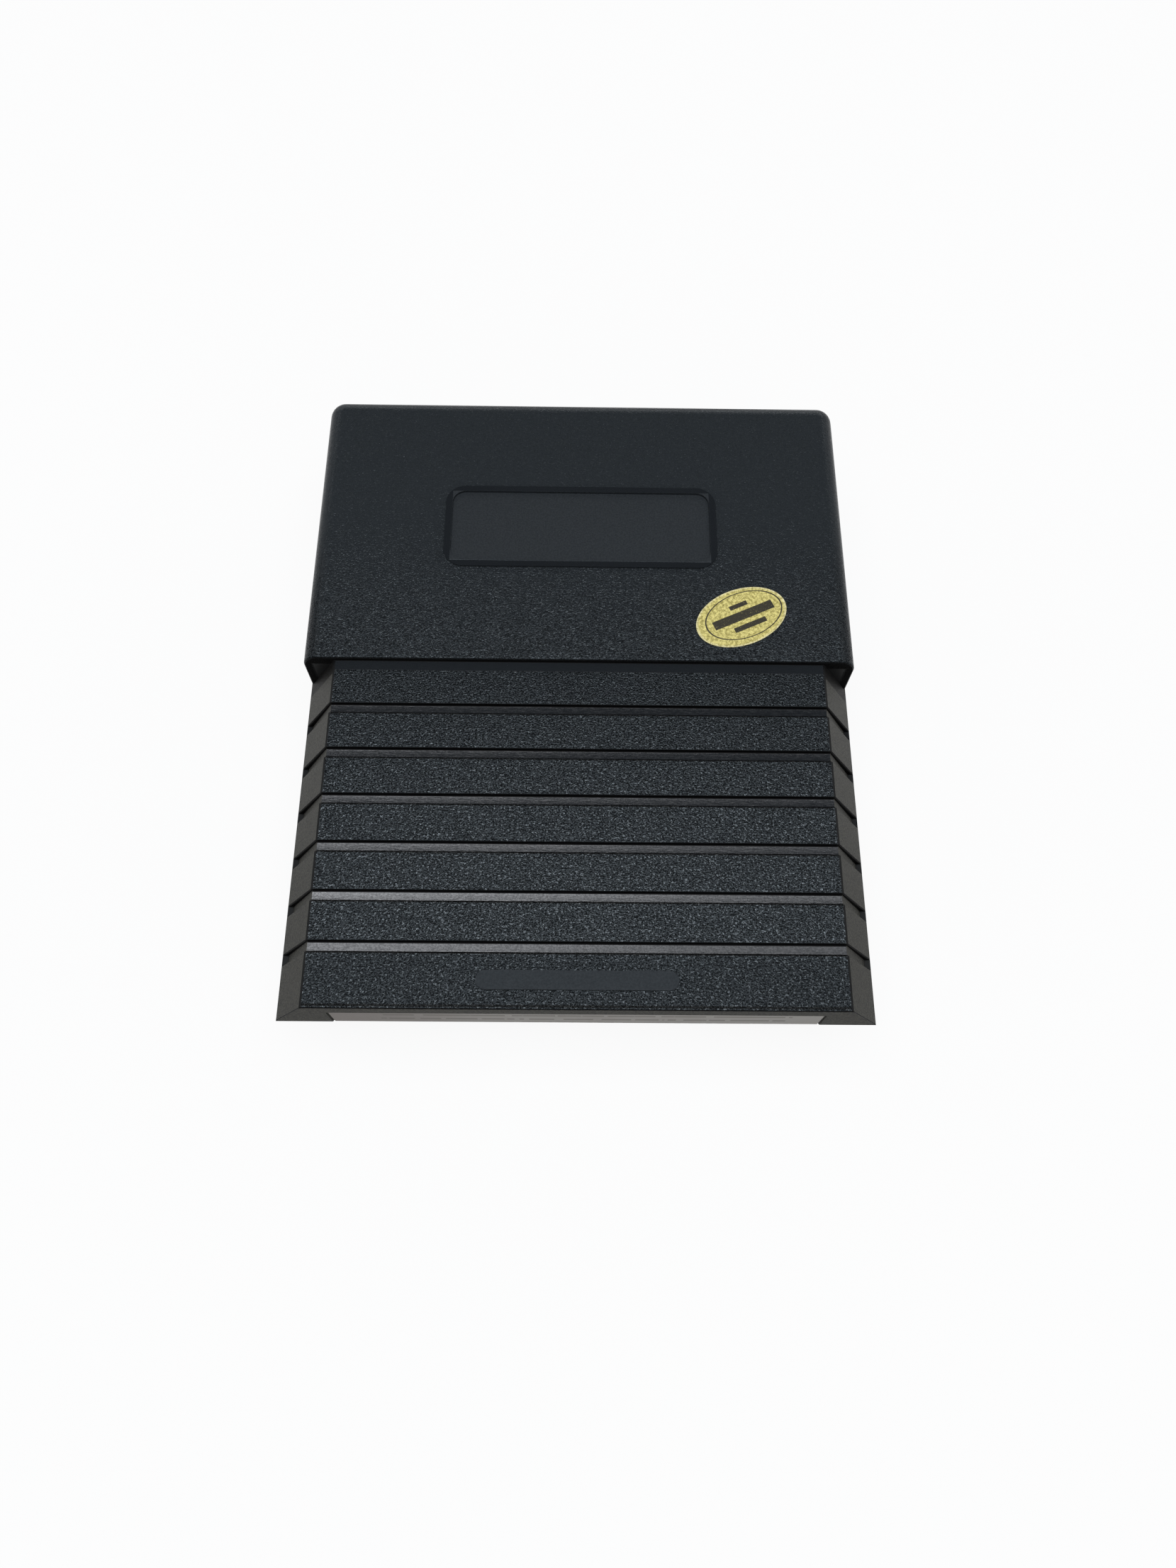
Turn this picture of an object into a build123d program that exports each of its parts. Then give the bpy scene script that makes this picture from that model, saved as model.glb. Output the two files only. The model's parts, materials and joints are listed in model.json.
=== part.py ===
from build123d import *
import os
from math import hypot

# A plug-in game cartridge, lying on its front face with its contact end towards +Y.
# Origin at the middle of the case's footprint, +Z out of the back, millimetres.

# Case
case_width = 81.0
case_length = 98.8
case_depth = 19.0
back_depth = 8.5
wall = 2.4
plug_length = 47.8
plug_edge_radius = 2.5
shoulder_edge_radius = 0.4

# Ribbed grip, whose back lies a step below the plug's
grip_step = 0.5
bevel_run = 4.8
rib_pitch = 7.0
groove_width = 1.35
groove_depth = 0.5
groove_head_depth = 0.35
groove_foot_depth = 0.7
rib_edge_radius = 0.2
rib_edge_chamfer = 0.2
end_rib_least = 5.0
front_end_run = 4.8
seam_rim = 1.0

# Blank raised mouldings on the back, and the bare label panel on the front
plaque_width = 41.5
plaque_length = 14.6
plaque_corner_radius = 3.0
plaque_border = 1.0
plaque_height = 0.35
plaque_from_shoulder = 23.2
bar_width = 26.5
bar_length = 2.6
bar_height = 0.2
bar_from_end = 3.9
panel_margin = 3.0
panel_depth = 0.3

# Labels
label_width = 65.0
label_drop = 2.8
label_tail = 8.0
label_thickness = 0.12
label_recess = 0.2
label_clearance = 0.3
sticker_width = 14.3
sticker_length = 9.3
sticker_thickness = 0.1
sticker_turn = 25.0
sticker_from_side = 16.6
sticker_from_shoulder = 7.6

# Seam lip and snap hooks
lip_setback = 1.8
lip_thickness = 0.6
lip_height = 0.8
lip_clearance = 0.1
hook_width = 6.0
hook_thickness = 1.4
hook_gap = 0.15
hook_grip = 0.6
hook_lead = 1.0
hook_reach = 3.0
hook_root = 4.0
hook_play = 0.1
side_hook_inset = 10.0
end_hook_spacing = 40.0

# Connector mouth and board
mouth_width = 58.0
mouth_height = 11.2
mouth_corner_radius = 1.5
board_width = 60.0
board_length = 36.0
board_thickness = 1.6
board_recess = 6.5
tongue_width = 33.5
tongue_length = 11.0
tongue_chamfer = 0.4
peg_diameter = 3.0
peg_clearance = 0.1
peg_rise = 2.0
post_diameter = 6.5
post_inset_x = 5.0
post_inset_y = 5.0

# Contacts
contact_pitch = 2.54
contacts_per_side = 12
contact_width = 1.7
contact_length = 9.0
contact_thickness = 0.05
contact_setback = 0.6

# Memory chip
rom_length = 31.8
rom_width = 13.8
rom_thickness = 3.8
rom_draft = 7.0
rom_standoff = 0.5
rom_notch_radius = 1.5
rom_notch_depth = 0.6
rom_from_tongue = 17.0
pin_pitch = 2.54
pins_per_row = 12
pin_row_spacing = 15.24
pin_thickness = 0.25
pin_shoulder_width = 1.4
pin_leg_width = 0.5
pin_shoulder_drop = 1.9
leg_below_board = 1.2
leg_hole_diameter = 0.9

# Capacitor
capacitor_width = 5.0
capacitor_thickness = 2.6
capacitor_height = 4.4
capacitor_radius = 0.8
capacitor_chamfer = 0.5
capacitor_standoff = 0.6
capacitor_from_rom = 5.0
lead_spacing = 2.54
lead_diameter = 0.5

# Solder, and the number of sides that it, the wires and the plated holes are drawn with
round_sides = 8
joint_radius = 0.95
joint_tip_radius = 0.4
joint_height = 0.9

# Worked out from the sizes above
half_width = case_width / 2
half_length = case_length / 2
seam = case_depth - back_depth
shoulder = half_length - plug_length
grip_length = case_length - plug_length
grip_back = case_depth - grip_step
grip_depth = back_depth - grip_step
plate_half = half_width - bevel_run
inner_half_width = half_width - wall
inner_half_length = half_length - wall
rib_count = int((grip_length - groove_width - end_rib_least) / rib_pitch)
rib_length = rib_pitch - groove_width
end_rib_length = grip_length - rib_count * rib_pitch - groove_width
groove_walls = [shoulder - (index + 1) * rib_pitch for index in range(rib_count)]
board_top = (case_depth + board_thickness) / 2
board_bottom = board_top - board_thickness
tongue_tip = half_length - board_recess
board_front = tongue_tip - tongue_length
board_middle = board_front - board_length / 2
rom_y = board_front - rom_from_tongue
rom_middle = board_top + rom_standoff + rom_thickness / 2
capacitor_x = rom_length / 2 + capacitor_from_rom
joint_lean = (joint_radius - joint_tip_radius) / joint_height
catch = seam + hook_reach
hook_tip = catch + hook_lead + hook_grip
end_slope = hypot(front_end_run, seam)
end_plane = Plane(origin=(0, -half_length, seam), x_dir=(1, 0, 0), z_dir=(0, seam, front_end_run))
post_places = [
    (side * (board_width / 2 - post_inset_x), board_middle + end * (board_length / 2 - post_inset_y))
    for side in (-1, 1)
    for end in (-1, 1)
]
peg_places = [place for place in post_places if place[1] > board_middle]
leg_rows = [rom_y - pin_row_spacing / 2, rom_y + pin_row_spacing / 2]
leg_columns = [(index - (pins_per_row - 1) / 2) * pin_pitch for index in range(pins_per_row)]
leg_places = [(x, y) for y in leg_rows for x in leg_columns]
lead_places = [(capacitor_x, rom_y + side * lead_spacing / 2) for side in (-1, 1)]
contact_places = [
    (index - (contacts_per_side - 1) / 2) * contact_pitch for index in range(contacts_per_side)
]
side_hook_places = [shoulder + wall + side_hook_inset, half_length - wall - side_hook_inset]
end_hook_places = [-end_hook_spacing / 2, end_hook_spacing / 2]


def draw_grip_section(depth, side, inset=0.0):
    """Half the grip's section, from the seam to the face on that side, with its walls moved in by inset."""
    slope = hypot(bevel_run, depth)
    seam_x = half_width - inset * slope / depth
    face_x = plate_half - inset * (slope - bevel_run) / depth
    face_z = seam + side * (depth - inset)
    with BuildLine() as outline:
        Polyline((-seam_x, seam), (-face_x, face_z), (face_x, face_z), (seam_x, seam), close=True)
    make_face(outline.edges())


def draw_groove_section():
    """The back half's section at a groove's floor, which cuts deeper into each bevel towards the seam."""
    spread = hypot(bevel_run, grip_depth) / grip_depth
    face_z = grip_back - groove_depth
    face_x = plate_half + bevel_run * groove_depth / grip_depth - groove_head_depth * spread
    seam_x = half_width - groove_foot_depth * spread
    with BuildLine() as outline:
        Polyline((-seam_x, seam), (-face_x, face_z), (face_x, face_z), (seam_x, seam), close=True)
    make_face(outline.edges())


def make_rib(length):
    """One rib of the back, over both bevels, with its edge towards the end rounded and the others broken."""
    with BuildPart() as rib:
        with BuildSketch(Plane.XZ):
            draw_grip_section(grip_depth, 1)
        extrude(amount=length)
        end_face = rib.faces().sort_by(Axis.Y)[0]
        at_seam = rib.faces().sort_by(Axis.Z)[0].edges()
        chamfer(rib.edges() - at_seam - end_face.edges(), rib_edge_chamfer)
        round_edges = rib.faces().sort_by(Axis.Y)[0].edges()
        fillet(round_edges - rib.faces().sort_by(Axis.Z)[0].edges(), rib_edge_radius)
    return rib.part


def make_front_grip(inset, length):
    """The front half of the grip, tapered at its sides and end, with every face moved in by inset."""
    with BuildPart() as grip:
        with BuildSketch(Plane.XZ.offset(half_length - length)):
            draw_grip_section(seam, -1, inset)
        extrude(amount=length)
        split(bisect_by=end_plane.offset(inset), keep=Keep.TOP)
    return grip.part


def make_plug_half(low, high):
    """Half of the smooth plug, with its open seam face at the seam and every other long edge rounded."""
    with BuildPart() as plug:
        with BuildSketch(Plane.XY.offset(low)):
            with Locations((0, half_length - plug_length / 2)):
                Rectangle(case_width, plug_length)
        extrude(amount=high - low)
        outside = plug.faces().filter_by(Axis.Z).filter_by(lambda face: abs(face.center().Z - seam) > wall)
        shoulder_face = plug.faces().sort_by(Axis.Y)[0]
        corners = plug.faces().sort_by(Axis.Y)[-1].edges().filter_by(Axis.Z)
        fillet(outside.edges() - shoulder_face.edges() + corners, plug_edge_radius)
        round_step = plug.faces().sort_by(Axis.Y)[0].edges()
        at_seam = round_step.filter_by_position(Axis.Z, seam, seam)
        fillet(round_step - at_seam, shoulder_edge_radius)
    return plug.part


def draw_hook(wall_at, out):
    """Snap hook standing inside a wall: wall_at is that wall's inner face, and out the way through it."""
    outer = wall_at - hook_gap
    inner = outer - hook_thickness
    grip = wall_at + hook_grip
    with BuildLine() as outline:
        Polyline(
            (out * inner, seam - hook_root),
            (out * inner, hook_tip),
            (out * outer, hook_tip),
            (out * grip, catch + hook_lead),
            (out * grip, catch),
            (out * outer, catch),
            (out * outer, seam),
            (out * wall_at, seam),
            (out * wall_at, seam - hook_root),
            close=True,
        )
    make_face(outline.edges())


def draw_catch(wall_at, out):
    """Pocket in that wall for the hook's barb."""
    bottom = catch - hook_play
    depth = hook_grip + hook_play
    with Locations((out * (wall_at + depth / 2), bottom)):
        Rectangle(depth, hook_tip + hook_play - bottom, align=(Align.CENTER, Align.MIN))


def draw_front_groove():
    """What a groove takes off both side bevels of the front half, below the rim at the seam."""
    rim_z = seam - seam_rim
    cut = groove_depth * hypot(bevel_run, seam) / seam
    rim_x = half_width - bevel_run * seam_rim / seam - cut
    for side in (-1, 1):
        with BuildLine() as outline:
            Polyline(
                (side * rim_x, rim_z),
                (side * half_width, rim_z),
                (side * half_width, 0),
                (side * (plate_half - cut), 0),
                close=True,
            )
        make_face(outline.edges())


def cut_mouth():
    """The connector mouth through the plug's end wall."""
    with BuildSketch(Plane.XZ.offset(-half_length)) as mouth:
        with Locations((0, case_depth / 2)):
            RectangleRounded(mouth_width, mouth_height, mouth_corner_radius)
    extrude(mouth.sketch, amount=wall, mode=Mode.SUBTRACT)


first_rib = make_rib(wall + rib_pitch)
regular_rib = make_rib(rib_length)
end_rib = make_rib(end_rib_length)

# Back half of the case, with the ribbed grip
with BuildPart() as back_shell:
    add(make_plug_half(seam, case_depth))
    with BuildSketch(Plane.XZ.offset(-shoulder - wall)):
        draw_groove_section()
    extrude(amount=wall + grip_length - end_rib_length / 2)
    with Locations((0, shoulder + wall, 0)):
        add(first_rib)
    with Locations(*[(0, at - groove_width, 0) for at in groove_walls[:-1]]):
        add(regular_rib)
    with Locations((0, groove_walls[-1] - groove_width, 0)):
        add(end_rib)
    # Hollow the grip and the plug, then step the rim for the front half's lip
    with BuildSketch(Plane.XZ.offset(-shoulder - wall)):
        draw_grip_section(grip_depth, 1, wall)
    extrude(amount=grip_length, mode=Mode.SUBTRACT)
    with BuildSketch(Plane.XY.offset(seam)):
        with Locations((0, half_length - plug_length / 2)):
            Rectangle(case_width - 2 * wall, plug_length - 2 * wall)
    extrude(amount=back_depth - wall, mode=Mode.SUBTRACT)
    with BuildSketch(Plane.XY.offset(seam)):
        rim = lip_setback - lip_clearance
        Rectangle(case_width - 2 * rim, case_length - 2 * rim)
    extrude(amount=lip_height + lip_clearance, mode=Mode.SUBTRACT)
    cut_mouth()
    # Pockets for the hooks
    for at in side_hook_places:
        with BuildSketch(Plane.XZ.offset(-at - hook_width / 2 - hook_play)):
            draw_catch(inner_half_width, -1)
            draw_catch(inner_half_width, 1)
        extrude(amount=hook_width + 2 * hook_play, mode=Mode.SUBTRACT)
    for at in end_hook_places:
        with BuildSketch(Plane.YZ.offset(at - hook_width / 2 - hook_play)):
            draw_catch(inner_half_length, -1)
        extrude(amount=hook_width + 2 * hook_play, mode=Mode.SUBTRACT)
    # Posts that hold the board down, hollow over the pegs
    with BuildSketch(Plane.XY.offset(board_top)):
        with Locations(*post_places):
            Circle(post_diameter / 2)
    extrude(amount=case_depth - wall - board_top)
    with BuildSketch(Plane.XY.offset(board_top)):
        with Locations(*peg_places):
            Circle(peg_diameter / 2 + peg_clearance)
    extrude(amount=peg_rise + peg_clearance, mode=Mode.SUBTRACT)
    # Label recess in the end face
    with BuildSketch(Plane.XZ.offset(half_length - label_recess)):
        with Locations((0, seam)):
            Rectangle(
                label_width + 2 * label_clearance,
                grip_depth - label_drop + label_clearance,
                align=(Align.CENTER, Align.MIN),
            )
    extrude(amount=label_recess, mode=Mode.SUBTRACT)
    # Blank raised plaque on the plug, and a blank bar on the end rib
    with BuildSketch(Plane.XY.offset(case_depth)):
        with Locations((0, shoulder + plaque_from_shoulder)):
            RectangleRounded(plaque_width, plaque_length, plaque_corner_radius)
            RectangleRounded(
                plaque_width - 2 * plaque_border,
                plaque_length - 2 * plaque_border,
                plaque_corner_radius - plaque_border,
                mode=Mode.SUBTRACT,
            )
    extrude(amount=plaque_height)
    with BuildSketch(Plane.XY.offset(grip_back)):
        with Locations((0, -half_length + bar_from_end)):
            SlotOverall(bar_width, bar_length)
    extrude(amount=bar_height)
back_shell.part.label = "back_shell"

# Front half of the case, with the pegs, the seam lip and the snap hooks
with BuildPart() as front_shell:
    add(make_plug_half(0, seam))
    add(make_front_grip(0, grip_length + wall))
    # Grooves down the side bevels, in line with those of the back
    for at in groove_walls:
        with BuildSketch(Plane.XZ.offset(-at)):
            draw_front_groove()
        extrude(amount=groove_width, mode=Mode.SUBTRACT)
    # Hollow the grip and the plug, then raise the lip that the back half's rim takes
    add(make_front_grip(wall, grip_length + wall), mode=Mode.SUBTRACT)
    with BuildSketch(Plane.XY.offset(wall)):
        with Locations((0, half_length - plug_length / 2)):
            Rectangle(case_width - 2 * wall, plug_length - 2 * wall)
    extrude(amount=seam - wall, mode=Mode.SUBTRACT)
    with BuildSketch(Plane.XY.offset(seam)):
        lip_width = case_width - 2 * lip_setback
        lip_length = case_length - 2 * lip_setback
        Rectangle(lip_width, lip_length)
        Rectangle(lip_width - 2 * lip_thickness, lip_length - 2 * lip_thickness, mode=Mode.SUBTRACT)
    extrude(amount=lip_height)
    cut_mouth()
    # Hooks along the plug's sides and at the grip's end
    for at in side_hook_places:
        with BuildSketch(Plane.XZ.offset(-at - hook_width / 2)):
            draw_hook(inner_half_width, -1)
            draw_hook(inner_half_width, 1)
        extrude(amount=hook_width)
    for at in end_hook_places:
        with BuildSketch(Plane.YZ.offset(at - hook_width / 2)):
            draw_hook(inner_half_length, -1)
        extrude(amount=hook_width)
    # Posts under the board, and the pegs through it
    with BuildSketch(Plane.XY.offset(wall)):
        with Locations(*post_places):
            Circle(post_diameter / 2)
    extrude(amount=board_bottom - wall)
    with BuildSketch(Plane.XY.offset(board_bottom)):
        with Locations(*peg_places):
            Circle(peg_diameter / 2)
    extrude(amount=board_thickness + peg_rise)
    # Label recess on the sloping end, and the bare panel on the front face
    with BuildSketch(end_plane):
        Rectangle(
            label_width + 2 * label_clearance,
            label_tail + label_clearance,
            align=(Align.CENTER, Align.MIN),
        )
    extrude(amount=label_recess * seam / end_slope, mode=Mode.SUBTRACT)
    with BuildSketch(Plane.XY):
        panel_low = -half_length + front_end_run + panel_margin
        panel_high = shoulder - panel_margin
        with Locations((0, (panel_low + panel_high) / 2)):
            Rectangle(2 * (plate_half - panel_margin), panel_high - panel_low)
    extrude(amount=panel_depth, mode=Mode.SUBTRACT)
front_shell.part.label = "front_shell"

# Paper label, folded over the seam from the back half's end to the sloping front end
with BuildPart() as end_label:
    with BuildSketch(Plane.YZ):
        floor_y = -half_length + label_recess
        with BuildLine():
            Polyline(
                (floor_y, grip_back - label_drop),
                (floor_y, seam),
                (
                    floor_y + label_tail * front_end_run / end_slope,
                    seam - label_tail * seam / end_slope,
                ),
            )
            offset(amount=label_thickness, side=Side.RIGHT, kind=Kind.INTERSECTION)
        make_face()
    extrude(amount=label_width / 2, both=True)
end_label.part.label = "end_label"

# Oval foil sticker on the smooth part of the back
with BuildPart() as inspection_sticker:
    with BuildSketch(Plane.XY.offset(case_depth)):
        with Locations((half_width - sticker_from_side, shoulder + sticker_from_shoulder)):
            Ellipse(sticker_width / 2, sticker_length / 2, rotation=sticker_turn)
    extrude(amount=sticker_thickness)
inspection_sticker.part.label = "inspection_sticker"

# Board with its contact tongue, peg holes and plated holes
with BuildPart() as circuit_board:
    with BuildSketch(Plane.XY.offset(board_bottom)):
        with Locations((0, board_middle)):
            Rectangle(board_width, board_length)
        with Locations((0, board_front)):
            Rectangle(tongue_width, tongue_length, align=(Align.CENTER, Align.MIN))
        with Locations(*peg_places):
            Circle(peg_diameter / 2 + peg_clearance, mode=Mode.SUBTRACT)
        with Locations(*leg_places, *lead_places):
            RegularPolygon(leg_hole_diameter / 2, round_sides, mode=Mode.SUBTRACT)
    extrude(amount=board_thickness)
    tip_edges = circuit_board.faces().sort_by(Axis.Y)[-1].edges().filter_by(Axis.X)
    chamfer(tip_edges, tongue_chamfer)
circuit_board.part.label = "circuit_board"


def draw_contacts():
    """The row of contact fingers along the tongue."""
    with Locations(*[(x, tongue_tip - contact_setback) for x in contact_places]):
        Rectangle(contact_width, contact_length, align=(Align.CENTER, Align.MAX))


# Contact fingers on both sides of the tongue
with BuildPart() as back_contacts:
    with BuildSketch(Plane.XY.offset(board_top)):
        draw_contacts()
    extrude(amount=contact_thickness)
back_contacts.part.label = "back_contacts"

with BuildPart() as front_contacts:
    with BuildSketch(Plane.XY.offset(board_bottom)):
        draw_contacts()
    extrude(amount=-contact_thickness)
front_contacts.part.label = "front_contacts"

# Chip body, drafted both ways from its middle, with the notch that marks pin one's end
with BuildPart() as rom_package:
    with BuildSketch(Plane.XY.offset(rom_middle)):
        with Locations((0, rom_y)):
            Rectangle(rom_length, rom_width)
    extrude(amount=rom_thickness / 2, both=True, taper=rom_draft)
    with BuildSketch(Plane.XY.offset(rom_middle + rom_thickness / 2)):
        with Locations((-rom_length / 2, rom_y)):
            Circle(rom_notch_radius)
    extrude(amount=-rom_notch_depth, mode=Mode.SUBTRACT)
rom_package.part.label = "rom_package"

# Chip legs: a wide shoulder out of the body, a wide bend, and a narrow leg through the board
with BuildPart() as rom_pins:
    bend_top = rom_middle + pin_thickness / 2
    shoulder_reach = (pin_row_spacing + pin_thickness - rom_width) / 2
    with BuildSketch(Plane.XY.offset(bend_top)):
        for side in (-1, 1):
            row_y = rom_y + side * (rom_width + shoulder_reach) / 2
            with Locations(*[(x, row_y) for x in leg_columns]):
                Rectangle(pin_shoulder_width, shoulder_reach)
    extrude(amount=-pin_thickness)
    with BuildSketch(Plane.XY.offset(bend_top)):
        with Locations(*leg_places):
            Rectangle(pin_shoulder_width, pin_thickness)
    extrude(amount=-pin_shoulder_drop)
    with BuildSketch(Plane.XY.offset(bend_top)):
        with Locations(*leg_places):
            Rectangle(pin_leg_width, pin_thickness)
    extrude(amount=board_bottom - leg_below_board - bend_top)
rom_pins.part.label = "rom_pins"

# Capacitor body with rounded corners and a bevelled top, on two straight wires
with BuildPart() as capacitor:
    with BuildSketch(Plane.XY.offset(board_top + capacitor_standoff)):
        with Locations((capacitor_x, rom_y)):
            Rectangle(capacitor_thickness, capacitor_width)
    extrude(amount=capacitor_height)
    fillet(capacitor.edges().filter_by(Axis.Z), capacitor_radius)
    chamfer(capacitor.faces().sort_by(Axis.Z)[-1].edges(), capacitor_chamfer)
capacitor.part.label = "capacitor"

with BuildPart() as capacitor_leads:
    with BuildSketch(Plane.XY.offset(board_top + capacitor_standoff)):
        with Locations(*lead_places):
            RegularPolygon(lead_diameter / 2, round_sides)
    extrude(amount=-(capacitor_standoff + board_thickness + leg_below_board))
capacitor_leads.part.label = "capacitor_leads"

# Solder under the board, one cone round every leg and wire
with BuildPart() as joint:
    with BuildSketch(Plane.XY.offset(board_bottom)):
        RegularPolygon(joint_radius, round_sides, major_radius=False)
    extrude(amount=-joint_height)
    for side in joint.faces().filter_by(Axis.Z, reverse=True):
        at_board = side.edges().sort_by(Axis.Z)[-1]
        slope = Plane(origin=at_board.center(), z_dir=side.normal_at() - Vector(0, 0, joint_lean))
        split(bisect_by=slope, keep=Keep.BOTTOM)

with BuildPart() as solder_joints:
    with Locations(*leg_places, *lead_places):
        add(joint.part)
    with BuildSketch(Plane.XY.offset(board_bottom)):
        with Locations(*leg_places):
            Rectangle(pin_leg_width, pin_thickness)
        with Locations(*lead_places):
            RegularPolygon(lead_diameter / 2, round_sides)
    extrude(amount=-joint_height, mode=Mode.SUBTRACT)
solder_joints.part.label = "solder_joints"

os.makedirs("parts", exist_ok=True)
pieces = [
    back_shell,
    front_shell,
    end_label,
    inspection_sticker,
    circuit_board,
    back_contacts,
    front_contacts,
    rom_package,
    rom_pins,
    capacitor,
    capacitor_leads,
    solder_joints,
]
for piece in pieces:
    export_step(piece.part, f"parts/{piece.part.label}.step")
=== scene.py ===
import json
from math import cos, pi, radians, sin
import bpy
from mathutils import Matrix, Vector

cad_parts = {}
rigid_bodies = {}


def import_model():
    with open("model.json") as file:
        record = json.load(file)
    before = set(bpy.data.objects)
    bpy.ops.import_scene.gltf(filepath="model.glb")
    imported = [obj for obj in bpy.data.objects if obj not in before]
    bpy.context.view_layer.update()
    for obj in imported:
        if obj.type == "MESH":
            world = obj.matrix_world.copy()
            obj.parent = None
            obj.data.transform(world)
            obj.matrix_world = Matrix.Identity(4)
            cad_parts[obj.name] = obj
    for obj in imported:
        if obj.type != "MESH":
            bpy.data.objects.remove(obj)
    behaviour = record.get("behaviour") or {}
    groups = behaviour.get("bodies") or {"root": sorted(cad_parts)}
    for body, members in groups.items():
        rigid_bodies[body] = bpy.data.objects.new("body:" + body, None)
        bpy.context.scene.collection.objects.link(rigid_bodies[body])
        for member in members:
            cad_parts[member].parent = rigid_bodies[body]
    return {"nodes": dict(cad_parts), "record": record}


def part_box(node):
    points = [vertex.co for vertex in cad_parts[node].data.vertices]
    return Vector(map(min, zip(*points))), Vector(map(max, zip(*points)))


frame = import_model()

from types import SimpleNamespace

import bpy
from mathutils import Matrix, Vector

STARTUP_OBJECTS = ("Cube", "Light", "Camera")
for stray in [thing for thing in bpy.data.objects if thing.name in STARTUP_OBJECTS]:
    bpy.data.objects.remove(stray)
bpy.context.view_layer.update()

# Places that the materials follow, in millimetres, in the part's own frame.
MM = 1000.0
SHOULDER_Y = 1.6
BAND_WIDTH = 1.6
BAND_FOOT_Y = SHOULDER_Y - BAND_WIDTH
BEVEL_BAND_FOOT_Y = BAND_FOOT_Y - 0.6
RIB_PITCH = 7.0
GROOVE_WIDTH = 1.35
GROOVE_COVE = 0.25
FAR_RIM = 0.32
LAST_WALL_Y = -42.5
END_RIB_Y = (-41.0, -43.0)
END_FACE_Y = (-44.2, -44.5)
END_EDGE_Y = -49.0
GRIP_BACK_Z = 18.5
PLUG_BACK_Z = 19.0
BACK_FLOOR_Z = 18.2
GROOVE_LOW_Z = 17.9
SEAM_Z = 10.5
BEVEL_HEAD_X = 35.7
BEVEL_FOOT_X = 39.0
PLAQUE_Y = SHOULDER_Y + 23.2
PLAQUE_FIELD = (39.5, 12.6)

# The case's outer skin lies beyond these.
SKIN_BACK_Z = 17.2
SKIN_FRONT_Z = 1.8
SKIN_SIDE_X = 39.2
SKIN_END_Y = 49.1

# Runs along and across the case over which its wear, its gloss, and its painted highlights, shade and lift
# change, and the run over which the label's paper grows paler.
PLUG_WEAR_AND_LIFT_Y = (2.0, 30.0)
PLUG_PITS_Y = (2.0, 26.0)
RIB_DEPTH_Y = (1.0, -22.0)
CREST_SPECULAR_Y = (2.0, -24.0)
PIT_SPECULAR_Y = (-12.0, -30.0)
BEVEL_ROUGHNESS_Y = (0.0, -48.0)
FIFTH_GROOVE_Y = (-29.0, -32.0)
LAST_GROOVE_Y = (-36.0, -40.0)
GROOVE_SPECULAR_X = (-36.0, 34.0)
LABEL_PALER_X = (-30.0, -6.0)

STICKER_BOX = [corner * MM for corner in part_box("inspection_sticker")]
STICKER_TURN = radians(25.0)


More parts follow.
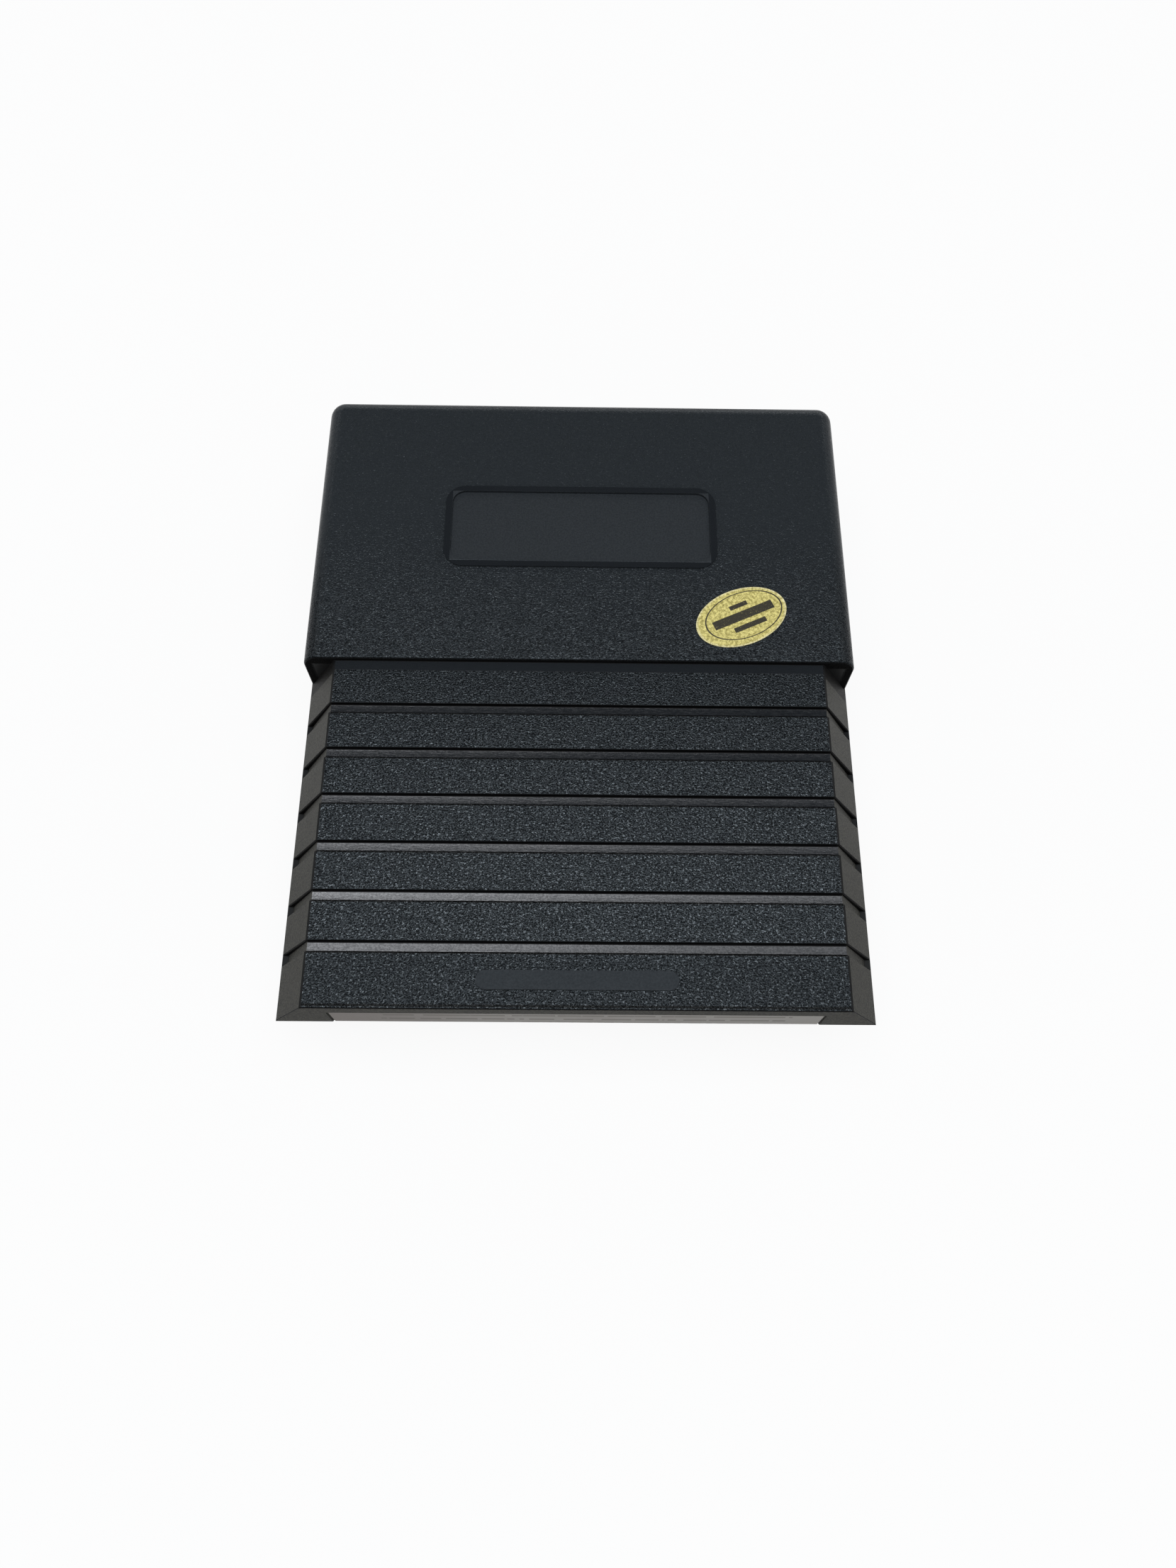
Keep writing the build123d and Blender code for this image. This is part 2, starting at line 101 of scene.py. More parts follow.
class Shader:
    """A node material in the making. Numbers are set on a node's inputs and sockets are linked to them."""

    def __init__(self, name):
        self.material = bpy.data.materials.new(name)
        self.material.use_nodes = True
        self.tree = self.material.node_tree
        self.tree.nodes.clear()
        coordinates = self.node("ShaderNodeTexCoord").outputs
        self.place = self.vector_product(coordinates["Object"], (MM, MM, MM))
        self.x, self.y, self.z = self.node("ShaderNodeSeparateXYZ", {0: self.place}).outputs
        facing = self.node("ShaderNodeSeparateXYZ", {0: coordinates["Normal"]})
        self.facing_x, self.facing_y, self.facing_z = facing.outputs

    def node(self, kind, inputs=None, **settings):
        made = self.tree.nodes.new(kind)
        for key, value in settings.items():
            setattr(made, key, value)
        for key, value in (inputs or {}).items():
            if isinstance(value, bpy.types.NodeSocket):
                self.tree.links.new(value, made.inputs[key])
            else:
                made.inputs[key].default_value = value
        return made

    def math(self, operation, *values):
        return self.node("ShaderNodeMath", dict(enumerate(values)), operation=operation).outputs[0]

    def vector_product(self, first, second):
        return self.node("ShaderNodeVectorMath", {0: first, 1: second}, operation="MULTIPLY").outputs[0]

    def chain(self, operation, first, others):
        for other in others:
            first = self.math(operation, first, other)
        return first

    def product(self, first, *others):
        return self.chain("MULTIPLY", first, others)

    def total(self, first, *others):
        return self.chain("ADD", first, others)

    def either(self, first, *others):
        return self.chain("MAXIMUM", first, others)

    def opposite(self, mask):
        return self.math("SUBTRACT", 1.0, mask)

    def size(self, value):
        return self.math("ABSOLUTE", value)

    def square(self, value):
        return self.math("POWER", value, 2.0)

    def ramp(self, value, start, end, low=0.0, high=1.0):
        """low before start, high after end, and a smooth change between them."""
        inputs = {"Value": value, "From Min": start, "From Max": end, "To Min": low, "To Max": high}
        if start > end:
            inputs.update({"From Min": end, "From Max": start, "To Min": high, "To Max": low})
        return self.node("ShaderNodeMapRange", inputs, interpolation_type="SMOOTHSTEP").outputs[0]

    def above(self, value, level, soft):
        """1 above that level, and 0 below it."""
        return self.ramp(value, level - soft, level + soft)

    def below(self, value, level, soft):
        """1 below that level, and 0 above it."""
        return self.ramp(value, level + soft, level - soft)

    def inside(self, value, low, high, soft):
        """1 between low and high, and 0 outside them."""
        return self.product(self.above(value, low, soft), self.below(value, high, soft))

    def near(self, value, level, reach, soft):
        """1 within that reach of the level, and 0 outside it."""
        return self.inside(value, level - reach, level + reach, soft)

    def noise(self, scale, detail=2.0, roughness=0.5, distortion=0.0, at=None):
        inputs = {
            "Vector": at or self.place,
            "Scale": scale,
            "Detail": detail,
            "Roughness": roughness,
            "Distortion": distortion,
        }
        return self.node("ShaderNodeTexNoise", inputs).outputs[0]

    def stretched(self, x, y, z):
        return self.vector_product(self.place, (x, y, z))

    def mix(self, factor, first, second):
        """A colour that goes from first to second as factor goes from 0 to 1."""
        factor_input, first_input, second_input, colour_output = 0, 6, 7, 2
        inputs = {factor_input: factor, first_input: first, second_input: second}
        return self.node("ShaderNodeMix", inputs, data_type="RGBA").outputs[colour_output]

    def blend(self, factor, first, second):
        """A number that goes from first to second as factor goes from 0 to 1."""
        change = self.math("SUBTRACT", second, first)
        return self.math("MULTIPLY_ADD", factor, change, first)

    def bump(self, height, distance, before=None):
        inputs = {"Height": height, "Distance": distance}
        if before is not None:
            inputs["Normal"] = before
        return self.node("ShaderNodeBump", inputs).outputs[0]

    def finish(self, **inputs):
        names = {key.replace("_", " ").title().replace("Ior", "IOR"): value for key, value in inputs.items()}
        surface = self.node("ShaderNodeBsdfPrincipled", names)
        self.node("ShaderNodeOutputMaterial", {"Surface": surface.outputs[0]})
        return self.material


def colour(red, green, blue):
    return (red, green, blue, 1.0)


def case_zones(s):
    """Masks of the case's surfaces, 1 on a surface and 0 off it, and distances that other masks need."""
    zone = SimpleNamespace()
    zone.side = s.size(s.x)
    zone.lean = s.size(s.facing_x)
    zone.level = s.size(s.facing_z)
    zone.flat = s.ramp(zone.level, 0.9, 0.985)
    zone.plug = s.above(s.y, SHOULDER_Y, 0.03)
    zone.grip = s.opposite(zone.plug)
    zone.outside = s.either(
        s.above(s.z, SKIN_BACK_Z, 0.2),
        s.below(s.z, SKIN_FRONT_Z, 0.2),
        s.above(zone.side, SKIN_SIDE_X, 0.2),
        s.above(s.y, SKIN_END_Y, 0.1),
    )
    # How far a point lies from the groove wall behind it.
    zone.from_wall = s.math("FLOORED_MODULO", s.math("SUBTRACT", SHOULDER_Y, s.y), RIB_PITCH)
    zone.groove = s.product(s.inside(s.z, GROOVE_LOW_Z, BACK_FLOOR_Z, 0.02), zone.flat, zone.grip)
    zone.step = s.product(s.near(s.y, SHOULDER_Y, 0.05, 0.03), zone.outside)
    zone.turned = s.product(s.inside(s.facing_z, 0.12, 0.95, 0.04), zone.plug, zone.outside)

    # The plaque's field and the bar are smooth.
    zone.field = s.product(
        s.near(s.x, 0.0, PLAQUE_FIELD[0] / 2, 0.1),
        s.near(s.y, PLAQUE_Y, PLAQUE_FIELD[1] / 2, 0.1),
        s.above(s.z, BACK_FLOOR_Z, 0.2),
    )
    zone.bar = s.product(s.ramp(s.z, GRIP_BACK_Z + 0.03, GRIP_BACK_Z + 0.08), zone.grip)

    # The bevels and the end face have a fine, matt grain.
    zone.end_face = s.product(s.ramp(s.y, *END_FACE_Y), s.ramp(s.facing_y, -0.8, -0.88))
    zone.bevel = s.product(s.ramp(zone.lean, 0.66, 0.8), zone.grip)
    zone.matt = s.either(zone.end_face, zone.bevel)

    # The coarse moulded grain covers the plug and the rib tops, apart from a band beside the shoulder.
    zone.rib_level = s.product(
        s.inside(s.z, GRIP_BACK_Z - 0.12, GRIP_BACK_Z + 0.06, 0.02), zone.flat, zone.grip
    )
    rib_top = s.product(zone.rib_level, s.ramp(s.y, BAND_FOOT_Y + 0.08, BAND_FOOT_Y - 0.12))
    plaque_rim = s.ramp(s.z, PLUG_BACK_Z + 0.04, PLUG_BACK_Z + 0.12)
    plug_skin = s.product(zone.plug, zone.outside, s.opposite(s.either(zone.field, plaque_rim)))
    front_rim = s.product(s.below(s.z, 0.1, 0.04), zone.grip)
    zone.grained = s.either(rib_top, plug_skin, zone.step, front_rim)
    return zone


def case_creases(s, zone):
    """Walls of the grooves, broken edges, the ledge at the seam and a band on the bevels beside the
    shoulder, all of which hold hardly any light and are given painted shade; also the seam line, a dark
    joint between the shells.
    """
    rim_shade, shoulder_shade, bevel_band_shade, faint_shade = 0.7, 0.86, 0.9, 0.8
    top_wall = s.ramp(s.facing_y, -0.35, -0.65)
    bevel_wall = s.product(s.above(zone.side, BEVEL_HEAD_X, 0.2), s.ramp(s.facing_y, -0.06, -0.2))
    wall = s.product(s.either(top_wall, bevel_wall), s.above(s.y, LAST_WALL_Y, 0.5), zone.grip)
    band = s.product(zone.rib_level, s.above(s.y, BAND_FOOT_Y + 0.5, 0.5))
    wall_foot = s.product(s.either(zone.groove, band), s.ramp(zone.from_wall, 0.22, 0.15))
    far_rim = s.product(
        s.inside(zone.from_wall, GROOVE_WIDTH, GROOVE_WIDTH + FAR_RIM, 0.04),
        s.below(s.y, BAND_FOOT_Y - 2.0, 1.0),
    )
    far_edge = s.product(
        s.either(s.ramp(s.facing_y, 0.3, 0.6), s.product(far_rim, rim_shade)),
        s.ramp(s.z, BACK_FLOOR_Z, BACK_FLOOR_Z + 0.1),
        zone.grip,
    )
    shoulder_wall = s.product(
        s.ramp(s.facing_y, -0.4, -0.7),
        s.inside(s.y, SHOULDER_Y - 0.1, SHOULDER_Y + 0.5, 0.05),
        shoulder_shade,
    )
    # Painted shadow: a dark band down the bevels beside the shoulder, under the plug's overhang.
    bevel_band = s.product(zone.bevel, s.above(s.y, BEVEL_BAND_FOOT_Y, 0.1), bevel_band_shade)
    end_edge = s.product(s.inside(s.facing_y, -0.8, -0.2, 0.08), s.below(s.y, END_EDGE_Y, 0.1))
    bar_side = s.product(zone.bar, s.ramp(zone.level, 0.6, 0.3))

    side_edge = s.product(
        s.inside(zone.lean, 0.2, 0.6, 0.06), s.ramp(s.z, GROOVE_LOW_Z, GROOVE_LOW_Z + 0.1), zone.grip
    )
    # Painted shade on the ledge where each groove meets the seam.
    seam_ledge_shade = s.product(
        s.near(s.z, SEAM_Z, 0.1, 0.04),
        s.ramp(s.facing_z, 0.9, 0.97),
        s.above(zone.side, BEVEL_FOOT_X, 0.1),
        zone.grip,
    )
    seam = s.product(s.near(s.z, SEAM_Z, 0.05, 0.03), s.ramp(zone.level, 0.8, 0.6))
    faint = s.product(s.either(side_edge, seam_ledge_shade, seam), faint_shade)
    return s.either(wall, wall_foot, shoulder_wall, end_edge, far_edge, bar_side, bevel_band, faint)


def case_grain(s, zone):
    """The patterns in the plastic, and where the grain is deep, pitted, or rubbed and given painted glints.
    """
    grain = SimpleNamespace()
    grain.coarse = s.noise(4.6, detail=1.0, roughness=0.4, distortion=0.4)
    grain.fine = s.noise(4.2, detail=3.0, roughness=0.65)
    grain.streaks = s.noise(1.0, detail=3.0, roughness=0.7, at=s.stretched(0.9, 4.0, 4.0))

    # It is worn down towards the plug's end, which slides in a socket, and a little on the end rib.
    plug_depth = s.ramp(s.y, *PLUG_WEAR_AND_LIFT_Y, low=0.85, high=0.3)
    rib_depth = s.ramp(s.y, *RIB_DEPTH_Y, low=0.7, high=1.0)
    rib_depth = s.product(rib_depth, s.ramp(s.y, *END_RIB_Y, low=1.0, high=0.8))
    grain.depth = s.blend(zone.plug, rib_depth, plug_depth)
    pit_depth = s.blend(zone.plug, 1.0, s.ramp(s.y, *PLUG_PITS_Y, low=0.8, high=0.25))
    grain.pit = s.product(s.ramp(grain.coarse, 0.46, 0.36), pit_depth)

    # The crests are paler, partly from rubbing and partly as painted glints, most where the grain is deep.
    crest = s.ramp(grain.coarse, 0.42, 0.66)
    worn = s.ramp(s.noise(0.16, detail=3.0, roughness=0.6), 0.3, 0.6, low=0.65, high=1.0)
    sparse = s.ramp(s.noise(1.5, detail=2.0, roughness=0.6), 0.36, 0.64, low=0.35, high=1.35)
    grain.rubbed = s.product(crest, worn, grain.depth, sparse)
    return grain


def case_relief(s, zone, grain):
    """The grain, and groove floors that are slightly dished and curve up into the wall behind them."""
    grain_distance, millimetre = 0.00012, 0.001
    matt_share, smooth_share = 0.8, 0.25
    dish_height, cove_height, streak_height = 0.03, 0.03, 0.012
    smooth_skin = s.product(s.either(zone.field, zone.bar), smooth_share)
    fine_depth = s.either(s.product(zone.matt, matt_share), smooth_skin)
    coarse_depth = s.product(zone.grained, grain.depth)
    height = s.total(s.product(grain.coarse, coarse_depth), s.product(grain.fine, fine_depth))
    normal = s.bump(height, grain_distance)

    across = s.math("DIVIDE", zone.from_wall, GROOVE_WIDTH)
    dish = s.square(s.math("SUBTRACT", across, 0.5))
    up_the_wall = s.opposite(s.math("DIVIDE", zone.from_wall, GROOVE_COVE))
    cove = s.square(s.math("MAXIMUM", up_the_wall, 0.0))
    floor = s.total(
        s.product(dish, dish_height), s.product(cove, cove_height), s.product(grain.streaks, streak_height)
    )
    return s.bump(s.product(floor, zone.groove), millimetre, before=normal)


def case_tone(s, zone, grain):
    """The plastic's colour: nearly black, with paler crests that are partly rubbed and partly painted
    glints, groove streaks and lint, painted shade in the pits, creases and shoulder step, a painted paler
    tone towards the plug's far end, and a paler warm tone on the bevels and end face as a painted
    reflection.
    """
    lint_share = 0.12
    patchy = s.noise(0.05, detail=2.0)
    tone = s.mix(patchy, colour(0.0085, 0.0100, 0.0118), colour(0.0120, 0.0140, 0.0165))
    streak = s.product(zone.groove, s.ramp(grain.streaks, 0.45, 0.7))
    tone = s.mix(streak, tone, colour(0.022, 0.024, 0.026))

    # Painted reflection: the bevels and the end face are paler and warm, standing in for a warm surface they
    # reflect, with a fine dark speckle in the plastic.
    speckle = s.ramp(grain.fine, 0.38, 0.62)
    matt_tone = s.mix(speckle, colour(0.0010, 0.0010, 0.0007), colour(0.0330, 0.0321, 0.0255))
    tone = s.mix(zone.matt, tone, matt_tone)

    grain_tone = s.mix(grain.rubbed, colour(0.0030, 0.0039, 0.0047), colour(0.0157, 0.0191, 0.0217))
    # Painted light: towards the plug's far end its grain is evened out into a paler tone, standing in for
    # the haze of light that end reflects.
    plug_painted_lift = s.product(zone.plug, s.ramp(s.y, *PLUG_WEAR_AND_LIFT_Y, low=0.3, high=1.0))
    grain_tone = s.mix(plug_painted_lift, grain_tone, colour(0.0190, 0.0223, 0.0252))
    # Painted shade: the grain's pits are toned darker.
    grain_tone = s.mix(grain.pit, grain_tone, colour(0.0016, 0.0020, 0.0024))
    tone = s.mix(zone.grained, tone, grain_tone)

    # Painted shade: the shoulder step and the creases are toned nearly black; the seam line among them is a
    # dark joint.
    tone = s.mix(s.either(zone.step, zone.crease), tone, colour(0.0012, 0.0012, 0.0014))
    lint = s.ramp(s.noise(1.7, detail=4.0, roughness=0.75), 0.70, 0.78)
    lint = s.product(lint, s.opposite(zone.grained))
    return s.mix(s.product(lint, lint_share), tone, colour(0.45, 0.45, 0.45))


def case_roughness(s, zone, grain):
    """Low in the grooves, middling on the grain, and high on the bevels and the end face."""
    groove_least, streak_share = 0.12, 0.10
    end_level, smooth_level, crest_level, pit_level, step_level = 0.85, 0.5, 0.23, 0.5, 0.9
    groove_level = s.total(groove_least, s.product(grain.streaks, streak_share))
    bevel_level = s.ramp(s.y, *BEVEL_ROUGHNESS_Y, low=0.64, high=0.74)
    roughness = s.blend(zone.matt, groove_level, s.blend(zone.end_face, bevel_level, end_level))
    roughness = s.blend(s.either(zone.crease, zone.bar, zone.field), roughness, smooth_level)
    roughness = s.blend(zone.grained, roughness, s.blend(grain.pit, crest_level, pit_level))
    return s.blend(zone.step, roughness, step_level)


def case_specular(s, zone, grain):
    """The specular level, which carries painted highlights and painted shade. Light is lost in the grain's
    valleys and in the creases.
    """
    plain_level, matt_level, dull_crest, crease_level = 0.5, 0.44, 0.25, 0.06
    upright_share, plug_share, turned_share = 0.4, 0.9, 0.3
    grit = s.ramp(grain.fine, 0.36, 0.64, low=0.72, high=1.28)
    # Painted highlights: the grooves' specular level falls from left to right, rises on the fifth groove and
    # drops on the last.
    across = s.ramp(s.x, *GROOVE_SPECULAR_X, low=0.78, high=0.37)
    fifth_groove = s.ramp(s.y, *FIFTH_GROOVE_Y, low=1.0, high=1.3)
    last_groove = s.ramp(s.y, *LAST_GROOVE_Y, low=1.0, high=0.74)
    groove_level = s.product(across, fifth_groove, grit, last_groove)

    glint = s.ramp(s.noise(2.7, detail=1.5, roughness=0.6), 0.50, 0.68)
    glint = s.product(glint, s.blend(zone.flat, upright_share, 1.0))
    # Painted highlights: the glints' specular level rises from the shoulder along the grip, and is cut on
    # the end rib and a little on the plug.
    crest_level = s.blend(glint, dull_crest, s.ramp(s.y, *CREST_SPECULAR_Y, low=0.7, high=1.0))
    crest_level = s.product(crest_level, s.ramp(s.y, *END_RIB_Y, low=1.0, high=0.68))
    crest_level = s.product(crest_level, s.blend(zone.plug, 1.0, plug_share))
    # Painted shade: the pits get a low specular level, a little higher further along the grip.
    pit_level = s.ramp(s.y, *PIT_SPECULAR_Y, low=0.05, high=0.10)

    specular = s.blend(zone.groove, s.blend(zone.matt, plain_level, matt_level), groove_level)
    specular = s.blend(zone.grained, specular, s.blend(grain.pit, crest_level, pit_level))
    specular = s.blend(zone.bar, specular, s.ramp(grain.fine, 0.3, 0.7, low=0.18, high=0.28))
    specular = s.blend(zone.field, specular, s.ramp(grain.fine, 0.3, 0.7, low=0.22, high=0.38))
    # Painted shade: the plug's rounded edges get a lower specular level than its faces, so they stay dark
    # instead of reflecting the white floor.
    specular = s.product(specular, s.blend(zone.turned, 1.0, turned_share))
    # Painted shade: the shoulder step and the creases get almost no specular level.
    return s.blend(s.either(zone.step, zone.crease), specular, crease_level)


def case_tint(s, zone):
    """The specular tint, which paints the colour of reflections: cool on the grain, neutral in the grooves,
    and warm on the matt surfaces and creases as a painted warm reflection.
    """
    tint = s.mix(s.either(zone.matt, zone.crease), colour(0.90, 1.0, 1.06), colour(1.0, 0.99, 0.94))
    return s.mix(zone.groove, tint, colour(1.01, 1.0, 1.0))


def make_case_plastic():
    s = Shader("case_plastic_grained")
    zone = case_zones(s)
    zone.crease = case_creases(s, zone)
    grain = case_grain(s, zone)
    return s.finish(
        base_color=case_tone(s, zone, grain),
        roughness=case_roughness(s, zone, grain),
        normal=case_relief(s, zone, grain),
        specular_ior_level=case_specular(s, zone, grain),
        specular_tint=case_tint(s, zone),
        ior=1.5,
    )


def label_print(s):
    """A mask of three rows of plain print bars, broken into lengths."""
    first_row, row_gap, row_half = 14.6, 2.1, 0.42
    last_row = 2
    half_share = row_half / row_gap
    left, right = -26.0, 28.5
    length_scale, row_offset = 0.6, 7.3
    down = s.math("DIVIDE", s.math("SUBTRACT", first_row + row_gap / 2, s.z), row_gap)
    row = s.math("FLOOR", down)
    from_middle = s.size(s.math("SUBTRACT", s.math("SUBTRACT", down, row), 0.5))
    in_row = s.ramp(from_middle, half_share, half_share - 0.05)
    in_row = s.product(in_row, s.inside(row, -0.5, last_row + 0.5, 0.01))
    # Each row takes its own line through the noise.
    axes = {"X": s.product(s.x, length_scale), "Y": s.product(row, row_offset)}
    along = s.node("ShaderNodeCombineXYZ", axes).outputs[0]
    lengths = s.ramp(s.noise(1.0, detail=1.0, at=along), 0.40, 0.42)
    return s.product(in_row, lengths, s.inside(s.x, left, right, 0.1))


def make_label_paper():
    s = Shader("label_paper_printed")
    paler_share, ink_share = 0.5, 0.55
    fibres = s.noise(3.0, detail=4.0, roughness=0.65)
    stains = s.ramp(s.noise(0.12, detail=3.0), 0.45, 0.75, low=0.0, high=0.3)
    paler_rightward = s.product(s.ramp(s.x, *LABEL_PALER_X), paler_share)
    # Painted shade: the paper is greyed well below a white paper's tone, and grows paler towards the right.
    paper = s.mix(fibres, colour(0.166, 0.149, 0.138), colour(0.212, 0.195, 0.182))
    paper = s.mix(paler_rightward, paper, colour(0.402, 0.392, 0.366))
    paper = s.mix(stains, paper, colour(0.20, 0.176, 0.158))
    paper = s.mix(s.product(label_print(s), ink_share), paper, colour(0.09, 0.08, 0.07))
    return s.finish(base_color=paper, roughness=0.75, normal=s.bump(fibres, 0.00002), ior=1.45)


def turned_axes(s):
    """Distances from the sticker's middle, along it and across it."""
    middle = (STICKER_BOX[0] + STICKER_BOX[1]) / 2
    from_x = s.math("SUBTRACT", s.x, middle.x)
    from_y = s.math("SUBTRACT", s.y, middle.y)
    u = s.total(s.product(from_x, cos(STICKER_TURN)), s.product(from_y, sin(STICKER_TURN)))
    v = s.total(s.product(from_x, -sin(STICKER_TURN)), s.product(from_y, cos(STICKER_TURN)))
    return u, v


def oval(s, u, v, half_u, half_v, at_u=0.0, at_v=0.0):
    """1 on that oval, less inside it and more outside."""
    part_u = s.square(s.math("DIVIDE", s.math("SUBTRACT", u, at_u), half_u))
    part_v = s.square(s.math("DIVIDE", s.math("SUBTRACT", v, at_v), half_v))
    return s.math("SQRT", s.total(part_u, part_v))


def stroke(s, u, v, start, end, half_width):
    """1 on a straight stroke with square ends."""
    soft = 0.04
    run = Vector(end) - Vector(start)
    way = run.normalized()
    centre = (Vector(start) + Vector(end)) / 2
    out_u = s.math("SUBTRACT", u, centre.x)
    out_v = s.math("SUBTRACT", v, centre.y)
    ahead = s.size(s.total(s.product(out_u, way.x), s.product(out_v, way.y)))
    aside = s.size(s.total(s.product(out_u, -way.y), s.product(out_v, way.x)))
    return s.product(s.below(ahead, run.length / 2, soft), s.below(aside, half_width, soft))


def make_sticker_foil():
    s = Shader("sticker_foil_mottled")
    rim_oval = (7.15, 4.65)
    ring_oval, ring_middle = (6.04, 3.74), (0.46, 0.12)
    bar_strokes = [
        ((-1.0, 1.9), (1.9, 1.9), 0.36),
        ((-4.5, 0.15), (5.3, 0.15), 0.72),
        ((-2.0, -1.75), (3.2, -1.75), 0.42),
    ]
    u, v = turned_axes(s)
    mottle = s.noise(2.2, detail=4.0, roughness=0.7)
    flecks = s.noise(6.0, detail=3.0, roughness=0.6)
    gold = s.mix(s.ramp(mottle, 0.36, 0.62), colour(0.31, 0.26, 0.062), colour(0.74, 0.65, 0.225))
    gold = s.mix(s.ramp(flecks, 0.56, 0.70, low=0.0, high=0.7), gold, colour(0.15, 0.125, 0.030))
    rim = s.ramp(oval(s, u, v, *rim_oval), 0.93, 0.99)
    rim = s.product(rim, s.ramp(mottle, 0.4, 0.6, low=0.2, high=0.8))
    gold = s.mix(rim, gold, colour(0.74, 0.68, 0.42))

    # A thin ring round three plain bars.
    off_ring = s.size(s.math("SUBTRACT", oval(s, u, v, *ring_oval, *ring_middle), 1.0))
    ring = s.ramp(off_ring, 0.026, 0.012)
    bars = [stroke(s, u, v, *bar) for bar in bar_strokes]
    ink = s.product(s.either(ring, *bars), s.ramp(flecks, 0.30, 0.42, low=0.75, high=1.0))
    gold = s.mix(ink, gold, colour(0.022, 0.018, 0.008))
    return s.finish(base_color=gold, roughness=0.45, normal=s.bump(flecks, 0.00002), ior=1.45)


def make_board_laminate():
    s = Shader("board_laminate_lacquered")
    weave = s.noise(2.0, detail=2.0, at=s.stretched(1.0, 1.0, 0.2))
    green = s.mix(weave, colour(0.012, 0.070, 0.022), colour(0.022, 0.105, 0.035))
    return s.finish(base_color=green, roughness=0.35, normal=s.bump(weave, 0.00001), ior=1.5)


def make_contact_gold():
    s = Shader("contact_gold_rubbed")
    rubs = s.noise(2.0, detail=3.0, at=s.stretched(6.0, 0.4, 6.0))
    gold = s.mix(rubs, colour(0.62, 0.43, 0.12), colour(0.83, 0.62, 0.24))
    return s.finish(base_color=gold, roughness=s.ramp(rubs, 0.3, 0.7, low=0.22, high=0.38), metallic=1.0)


def make_chip_epoxy():
    s = Shader("chip_epoxy_matt")
    speckle = s.noise(7.0, detail=3.0)
    black = s.mix(speckle, colour(0.012, 0.012, 0.013), colour(0.022, 0.022, 0.023))
    return s.finish(base_color=black, roughness=0.55, normal=s.bump(speckle, 0.00001))


def make_tinned_metal():
    s = Shader("tinned_metal_dull")
    cloud = s.noise(3.0, detail=3.0)
    tin = s.mix(cloud, colour(0.52, 0.52, 0.53), colour(0.68, 0.68, 0.67))
    return s.finish(base_color=tin, roughness=s.ramp(cloud, 0.3, 0.7, low=0.26, high=0.42), metallic=1.0)


def make_capacitor_coat():
    s = Shader("capacitor_coat_dipped")
    cloud = s.noise(1.2, detail=2.0)
    ochre = s.mix(cloud, colour(0.50, 0.22, 0.030), colour(0.64, 0.31, 0.055))
    return s.finish(base_color=ochre, roughness=0.25, normal=s.bump(cloud, 0.00004))


def make_solder():
    s = Shader("solder_bright")
    cloud = s.noise(2.5, detail=3.0)
    grey = s.mix(cloud, colour(0.55, 0.55, 0.56), colour(0.72, 0.72, 0.73))
    return s.finish(base_color=grey, roughness=s.ramp(cloud, 0.3, 0.7, low=0.2, high=0.4), metallic=1.0)


def make_floor_white():
    """White to the eye and in reflections, and grey to the light that it throws back on the object."""
    s = Shader("floor_white")
    seen_share, seen_strength = 0.86, 1.06
    cloud = s.noise(0.004, detail=2.0)
    grey = s.mix(cloud, colour(0.44, 0.44, 0.44), colour(0.48, 0.48, 0.48))
    diffuse = s.node("ShaderNodeBsdfDiffuse", {"Color": grey})
    glow = s.node("ShaderNodeEmission", {"Strength": seen_strength})
    rays = s.node("ShaderNodeLightPath").outputs
    seen = s.either(rays["Is Camera Ray"], rays["Is Glossy Ray"], rays["Is Transmission Ray"])
    surfaces = {0: s.product(seen, seen_share), 1: diffuse.outputs[0], 2: glow.outputs[0]}
    mixed = s.node("ShaderNodeMixShader", surfaces)
    s.node("ShaderNodeOutputMaterial", {"Surface": mixed.outputs[0]})
    s.material.cycles.emission_sampling = "NONE"
    return s.material


def make_floor():
    half = 3.0
    corners = [(-half, -half, 0), (half, -half, 0), (half, half, 0), (-half, half, 0)]
    mesh = bpy.data.meshes.new("floor")
    mesh.from_pydata(corners, [], [(0, 1, 2, 3)])
    mesh.materials.append(make_floor_white())
    floor = bpy.data.objects.new("floor", mesh)
    bpy.context.collection.objects.link(floor)


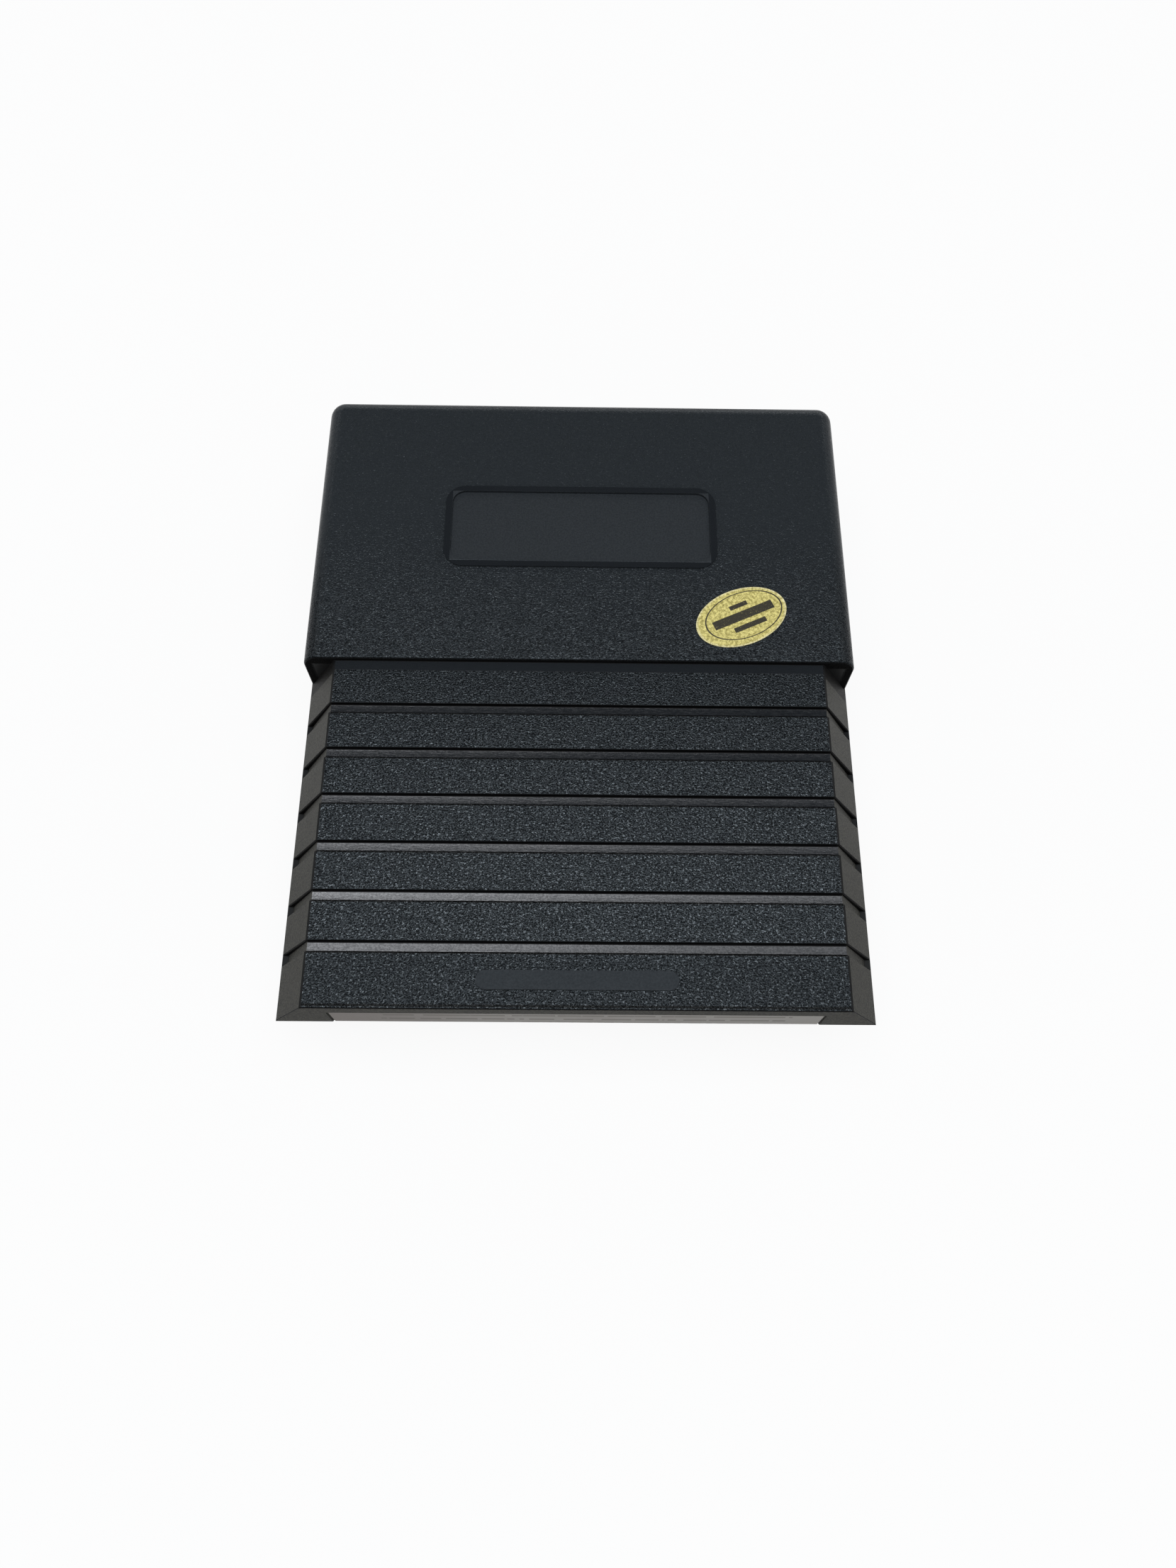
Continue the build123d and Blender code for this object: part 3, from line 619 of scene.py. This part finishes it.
def make_world():
    """White round the horizon and nearly dark overhead, where the softbox is."""
    white_up_to, dark_from = sin(radians(24)), sin(radians(34))
    white_strength, dark_strength = 1.0, 0.03
    world = bpy.data.worlds.new("studio")
    bpy.context.scene.world = world
    world.use_nodes = True
    nodes, links = world.node_tree.nodes, world.node_tree.links
    nodes.clear()
    coordinates = nodes.new("ShaderNodeTexCoord")
    axes = nodes.new("ShaderNodeSeparateXYZ")
    links.new(coordinates.outputs["Generated"], axes.inputs[0])
    ramp = nodes.new("ShaderNodeMapRange")
    ramp.interpolation_type = "SMOOTHSTEP"
    ramp.inputs["From Min"].default_value = white_up_to
    ramp.inputs["From Max"].default_value = dark_from
    ramp.inputs["To Min"].default_value = white_strength
    ramp.inputs["To Max"].default_value = dark_strength
    links.new(axes.outputs["Z"], ramp.inputs["Value"])
    background = nodes.new("ShaderNodeBackground")
    background.inputs["Color"].default_value = colour(1.0, 1.0, 1.0)
    links.new(ramp.outputs[0], background.inputs["Strength"])
    output = nodes.new("ShaderNodeOutputWorld")
    links.new(background.outputs[0], output.inputs["Surface"])


def make_softbox():
    """One large lamp overhead, in metres and watts."""
    low, high, height = (-0.95, -0.68), (0.95, 0.50), 1.5
    lamp = bpy.data.lights.new("overhead_softbox", "AREA")
    lamp.shape = "RECTANGLE"
    lamp.size = high[0] - low[0]
    lamp.size_y = high[1] - low[1]
    lamp.energy = 24.9
    lamp.color = (0.955, 0.985, 1.03)
    softbox = bpy.data.objects.new("overhead_softbox", lamp)
    softbox.location = ((low[0] + high[0]) / 2, (low[1] + high[1]) / 2, height)
    softbox.rotation_euler.z = radians(-3.5)
    bpy.context.collection.objects.link(softbox)


def make_camera():
    """The photograph's camera, fitted to the case's edges in it."""
    place = Vector((-0.00045, -0.08217, 0.16923))
    pitch, yaw, roll = radians(66.837), radians(-1.547), radians(1.939)
    lens = bpy.data.cameras.new("camera")
    lens.sensor_fit = "AUTO"
    lens.sensor_width = 36.0
    lens.lens = 27.017
    lens.clip_start = 0.005
    lens.clip_end = 20.0
    camera = bpy.data.objects.new("camera", lens)
    turn = Matrix.Rotation(yaw, 4, "Z") @ Matrix.Rotation(pi / 2 - pitch, 4, "X")
    turn = turn @ Matrix.Rotation(roll, 4, "Z")
    camera.matrix_world = Matrix.Translation(place) @ turn
    bpy.context.collection.objects.link(camera)
    bpy.context.scene.camera = camera


materials = {
    "case_plastic": make_case_plastic(),
    "label_paper": make_label_paper(),
    "sticker_foil": make_sticker_foil(),
    "board_laminate": make_board_laminate(),
    "contact_gold": make_contact_gold(),
    "chip_epoxy": make_chip_epoxy(),
    "tinned_metal": make_tinned_metal(),
    "capacitor_coat": make_capacitor_coat(),
    "solder": make_solder(),
}
for subpart in frame["record"]["subparts"]:
    for slot in frame["nodes"][subpart["node"]].material_slots:
        slot.material = materials[subpart["material_slot"]]

make_floor()
make_world()
make_softbox()
make_camera()
bpy.context.scene.view_settings.view_transform = "Standard"
